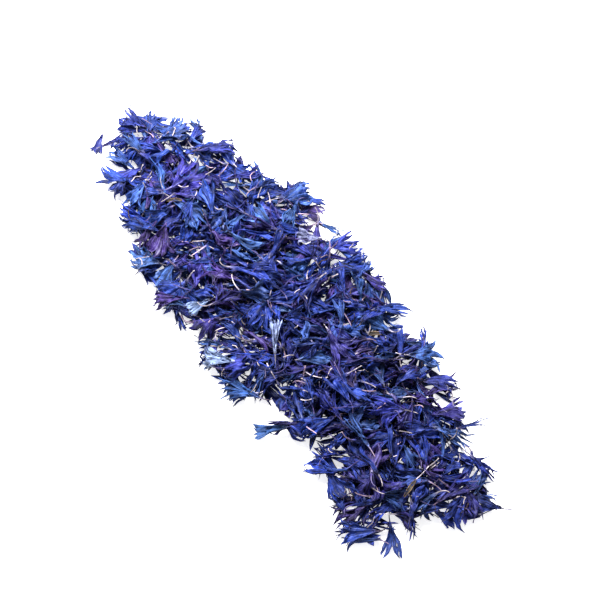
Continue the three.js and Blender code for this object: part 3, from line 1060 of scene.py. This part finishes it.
# %% Helpers for the material's nodes
def noise_of(tree, places, scale, detail, roughness=0.5):
    """A noise read at the given places."""
    made = tree.nodes.new("ShaderNodeTexNoise")
    made.inputs["Scale"].default_value = scale
    made.inputs["Detail"].default_value = detail
    made.inputs["Roughness"].default_value = roughness
    tree.links.new(places, made.inputs["Vector"])
    return made.outputs["Fac"]


def ranged(tree, value, start, end, kind="LINEAR"):
    """The value, carried over from one range of numbers to another."""
    made = tree.nodes.new("ShaderNodeMapRange")
    made.interpolation_type = kind
    for label, number in zip(("From Min", "From Max", "To Min", "To Max"), (*start, *end)):
        made.inputs[label].default_value = number
    tree.links.new(value, made.inputs["Value"])
    return made.outputs["Result"]


def weighed_sum(tree, value, weight, other):
    """The value times its weight, and the other one added."""
    made = tree.nodes.new("ShaderNodeMath")
    made.operation = "MULTIPLY_ADD"
    made.inputs[1].default_value = weight
    tree.links.new(value, made.inputs[0])
    tree.links.new(other, made.inputs[2])
    return made.outputs[0]


# %% The petal material
VEINS_A_LOBE = 1.7
VEIN_ROUGHNESS = 0.65
BLOTCHES_A_METRE = 420
CRINKLES_A_METRE = 1500
COLOUR_DETAIL = 5
CRINKLE_DETAIL = 3
BLOTCH_SHARE = 0.5
# Tone along the veins and blotches: partly the tissue's own, partly painted highlight on the bright
# streaks and painted shade on the dark ones.
STREAK_RANGE = (0.63, 0.87)
DARKEST_VEIN_AND_SHADE = 0.28
BRIGHTEST_VEIN_AND_HIGHLIGHT = 1.45
# Painted sheen: the thinnest, brightest streaks are painted pale, as a painted highlight.
PAINTED_SHEEN_RANGE = (0.81, 0.97)
PAINTED_SHEEN = (0.46, 0.48, 0.42)
PAINTED_SHEEN_SHARE = 0.24
ROUGHNESS_RANGE = (0.42, 0.75)
VEIN_RELIEF = 1.5
BUMP_STRENGTH = 0.8
BUMP_DEPTH = 0.0003
PETAL_GLOSS = 0.25
SCALE_GLOSS = 0.5


def petal_material(name, gloss):
    """Dry petal: a tint from the points, blotches, veins with painted highlight and shade, a painted
    pale sheen on thin streaks and a fine crinkle.
    """
    material = bpy.data.materials.new(name)
    material.use_nodes = True
    tree = material.node_tree
    shader = tree.nodes["Principled BSDF"]
    shader.inputs["Specular IOR Level"].default_value = gloss
    tint = tree.nodes.new("ShaderNodeAttribute")
    tint.attribute_name = "tint"
    grain = tree.nodes.new("ShaderNodeAttribute")
    grain.attribute_name = "grain"
    place = tree.nodes.new("ShaderNodeTexCoord").outputs["Object"]
    blotch = noise_of(tree, place, BLOTCHES_A_METRE, COLOUR_DETAIL)
    vein = noise_of(tree, grain.outputs["Vector"], VEINS_A_LOBE, COLOUR_DETAIL, VEIN_ROUGHNESS)
    crinkle = noise_of(tree, place, CRINKLES_A_METRE, CRINKLE_DETAIL)

    # Vein and blotch tone, with painted highlight and painted shade.
    streak = weighed_sum(tree, blotch, BLOTCH_SHARE, vein)
    vein_tone_and_painted_light = ranged(tree, streak, STREAK_RANGE, (DARKEST_VEIN_AND_SHADE, BRIGHTEST_VEIN_AND_HIGHLIGHT), "SMOOTHSTEP")
    coloured = tree.nodes.new("ShaderNodeVectorMath")
    coloured.operation = "SCALE"
    tree.links.new(tint.outputs["Color"], coloured.inputs[0])
    tree.links.new(vein_tone_and_painted_light, coloured.inputs["Scale"])
    # Painted highlight: a pale sheen painted on the thinnest bright streaks.
    with_painted_sheen = tree.nodes.new("ShaderNodeVectorMath")
    with_painted_sheen.operation = "MULTIPLY_ADD"
    with_painted_sheen.inputs[0].default_value = PAINTED_SHEEN
    tree.links.new(ranged(tree, streak, PAINTED_SHEEN_RANGE, (0, PAINTED_SHEEN_SHARE)), with_painted_sheen.inputs[1])
    tree.links.new(coloured.outputs["Vector"], with_painted_sheen.inputs[2])
    tree.links.new(with_painted_sheen.outputs["Vector"], shader.inputs["Base Color"])

    tree.links.new(ranged(tree, blotch, (0, 1), ROUGHNESS_RANGE), shader.inputs["Roughness"])
    bump = tree.nodes.new("ShaderNodeBump")
    bump.inputs["Strength"].default_value = BUMP_STRENGTH
    bump.inputs["Distance"].default_value = BUMP_DEPTH
    tree.links.new(weighed_sum(tree, vein, VEIN_RELIEF, crinkle), bump.inputs["Height"])
    tree.links.new(bump.outputs["Normal"], shader.inputs["Normal"])
    return material


petal = petal_material("dry_petal", PETAL_GLOSS)
papery = petal_material("papery_scale", SCALE_GLOSS)
print("Petal nodes:", len(petal.node_tree.nodes))

# %% [markdown]
# ## Dressing the frame
#
# Each piece becomes an object of its own that rides on the heap's one body, and the CAD node
# that it takes the place of is hidden.

# %% Turning the pieces into objects
dressed = []
for field in (under, inner, upper):
    dressed += [(piece, "floret_mat", "mat", petal) for piece in field.pieces.values()]
dressed.append((broken, "floret_mat", "mat", petal))
dressed += [(piece, node, colour, petal) for piece, node, colour in loose]
dressed += [(piece, node, "bract", papery) for piece, node in scales]
triangles = 0
for piece, node, slot, material in dressed:
    made = piece.made()
    made.data.materials.append(material)
    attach(made, "root")
    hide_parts(node)
    triangles += 2 * len(made.data.polygons)
print("Triangles:", triangles)

# %% [markdown]
# ## Floor, light and camera
#
# The heap lies on plain white. The floor glows a little of its own, so that it stays white and
# the shadows on it stay soft. One square lamp stands high on the side of the narrow end, and the
# room around gives an even light. The camera looks down steeply with a long lens.

# %% The floor
FLOOR_SIZE = 3.0
FLOOR_DROP = 0.0002
FLOOR_WHITE = (0.95, 0.95, 0.95, 1)
FLOOR_ROUGHNESS = 0.9
FLOOR_GLOW = 0.65
bpy.ops.mesh.primitive_plane_add(size=FLOOR_SIZE, location=(0, 0, -FLOOR_DROP))
floor = bpy.context.object
floor.name = "floor"
white = bpy.data.materials.new("white_floor")
white.use_nodes = True
white_shader = white.node_tree.nodes["Principled BSDF"]
white_shader.inputs["Base Color"].default_value = FLOOR_WHITE
white_shader.inputs["Roughness"].default_value = FLOOR_ROUGHNESS
white_shader.inputs["Emission Color"].default_value = (1, 1, 1, 1)
white_shader.inputs["Emission Strength"].default_value = FLOOR_GLOW
floor.data.materials.append(white)
print("The floor is", FLOOR_SIZE, "m wide.")

# %% The light
ROOM_STRENGTH = 0.5
LAMP_PLACE = Vector((-0.22, 0.12, 0.34))
LAMP_SIZE = 0.22
LAMP_POWER = 6.8
world = bpy.data.worlds.new("soft_room")
bpy.context.scene.world = world
world.use_nodes = True
world.node_tree.nodes["Background"].inputs["Color"].default_value = (1, 1, 1, 1)
world.node_tree.nodes["Background"].inputs["Strength"].default_value = ROOM_STRENGTH
lamp_light = bpy.data.lights.new("key_light", "AREA")
lamp_light.size = LAMP_SIZE
lamp_light.energy = LAMP_POWER
lamp = bpy.data.objects.new("key_light", lamp_light)
bpy.context.scene.collection.objects.link(lamp)
lamp.location = LAMP_PLACE
lamp.rotation_euler = (-LAMP_PLACE).to_track_quat("-Z", "Y").to_euler()
print("The lamp gives", LAMP_POWER, "W from", round(LAMP_PLACE.length, 2), "m off.")

# %% The camera
CAMERA_AZIMUTH = math.radians(50)
CAMERA_ELEVATION = math.radians(78)
LENS = 85
SENSOR = 36
IMAGE_SIZE = 600
MM_PER_PIXEL = 0.394
HEAP_CENTRE_PIXEL = (292, 322)


def direction(azimuth, elevation):
    """The unit vector from the heap to a place at that azimuth and elevation."""
    flat = math.cos(elevation)
    return Vector((math.sin(azimuth) * flat, -math.cos(azimuth) * flat, math.sin(elevation)))


view_width = IMAGE_SIZE * MM_PER_PIXEL * MM
distance = view_width * LENS / SENSOR
lens = bpy.data.cameras.new("camera")
lens.lens = LENS
lens.sensor_width = SENSOR
camera = bpy.data.objects.new("camera", lens)
bpy.context.scene.collection.objects.link(camera)
back = direction(CAMERA_AZIMUTH, CAMERA_ELEVATION)
camera.rotation_euler = back.to_track_quat("Z", "Y").to_euler()
right = Vector((math.cos(CAMERA_AZIMUTH), math.sin(CAMERA_AZIMUTH), 0))
up = back.cross(right)
off_right = (IMAGE_SIZE / 2 - HEAP_CENTRE_PIXEL[0]) * MM_PER_PIXEL * MM
off_up = (HEAP_CENTRE_PIXEL[1] - IMAGE_SIZE / 2) * MM_PER_PIXEL * MM
camera.location = back * distance + right * off_right + up * off_up
bpy.context.scene.camera = camera
bpy.context.scene.view_settings.view_transform = "Standard"
print("The camera stands", round(distance, 3), "m off.")
